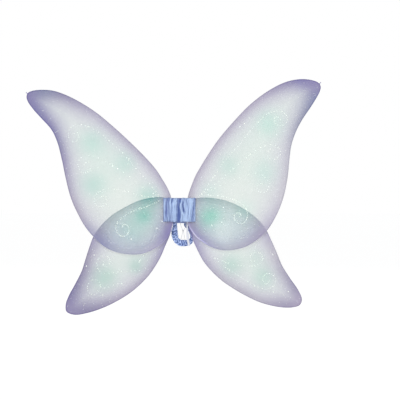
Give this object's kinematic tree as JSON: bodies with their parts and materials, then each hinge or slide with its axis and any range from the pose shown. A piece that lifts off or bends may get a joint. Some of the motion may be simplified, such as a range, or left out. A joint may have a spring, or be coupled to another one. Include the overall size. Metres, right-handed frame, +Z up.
{
  "type": "costume wings",
  "caption": "Butterfly-shaped fairy wings of sheer nylon on wire loops, held by a crinkled fabric band with ruched arm straps.",
  "frame": {"origin": "middle of the band's flat wearer-side face", "axes": "+X to the wearer's right along the span, +Y towards the wearer, +Z up"},
  "size_m": [0.8844, 0.0341, 0.7059],
  "materials": {
    "wire": "thin steel wire with a grey-purple coat",
    "nylon": "sheer nylon stocking, airbrushed lavender and mint, dotted with fine glitter",
    "band": "crinkled shiny blue satin",
    "backing": "flat blue felt backing",
    "strap": "ruched shiny blue satin tube",
    "elastic": "white woven elastic and cord",
    "thread": "wound sewing thread",
    "tape": "cloth binding tape",
    "foam": "soft foam pad"
  },
  "bodies": {
    "hub": {"band_front": "band", "band_back": "backing", "core_pad": "foam", "binding_tape": "tape", "upper_left_wire_root": "wire", "upper_left_skin_root": "nylon", "upper_left_root_tie": "thread", "upper_right_wire_root": "wire", "upper_right_skin_root": "nylon", "upper_right_root_tie": "thread", "lower_left_wire_root": "wire", "lower_left_skin_root": "nylon", "lower_left_root_tie": "thread", "lower_right_wire_root": "wire", "lower_right_skin_root": "nylon", "lower_right_root_tie": "thread", "strap_tab": "strap", "white_ribbon": "elastic", "white_cord_left": "elastic", "white_cord_right": "elastic", "white_cord_knot": "elastic"},
    "upper_left_wing": {"upper_left_wire": "wire", "upper_left_skin": "nylon", "upper_left_tip_knot": "nylon"},
    "upper_right_wing": {"upper_right_wire": "wire", "upper_right_skin": "nylon", "upper_right_tip_knot": "nylon"},
    "lower_left_wing": {"lower_left_wire": "wire", "lower_left_skin": "nylon"},
    "lower_right_wing": {"lower_right_wire": "wire", "lower_right_skin": "nylon"},
    "left_strap": {"left_strap_cover": "strap", "left_strap_elastic": "elastic"},
    "right_strap": {"right_strap_cover": "strap", "right_strap_elastic": "elastic"}
  },
  "joints": [
    {"name": "upper_left_fold", "type": "hinge", "parent": "hub", "child": "upper_left_wing", "pos_m": [-0.058, -0.017, 0], "axis": [0, 0, -1], "range_deg": [-30, 80]},
    {"name": "lower_left_fold", "type": "hinge", "parent": "hub", "child": "lower_left_wing", "pos_m": [-0.052, -0.009, 0], "axis": [0, 0, -1], "range_deg": [-30, 80]},
    {"name": "upper_right_fold", "type": "hinge", "parent": "hub", "child": "upper_right_wing", "pos_m": [0.058, -0.017, 0], "axis": [0, 0, 1], "range_deg": [-30, 80]},
    {"name": "lower_right_fold", "type": "hinge", "parent": "hub", "child": "lower_right_wing", "pos_m": [0.052, -0.009, 0], "axis": [0, 0, 1], "range_deg": [-30, 80]},
    {"name": "left_strap_swing", "type": "hinge", "parent": "hub", "child": "left_strap", "pos_m": [0, 0.0014, -0.0386], "axis": [1, 0, 0], "range_deg": [-3, 90]},
    {"name": "right_strap_swing", "type": "hinge", "parent": "hub", "child": "right_strap", "pos_m": [0, 0.0014, -0.0386], "axis": [1, 0, 0], "range_deg": [-3, 90]}
  ],
  "couplings": [
    {"joint": "lower_left_fold", "follows": "upper_left_fold", "ratio": 1},
    {"joint": "lower_right_fold", "follows": "upper_right_fold", "ratio": 1},
    {"joint": "right_strap_swing", "follows": "left_strap_swing", "ratio": 1}
  ]
}
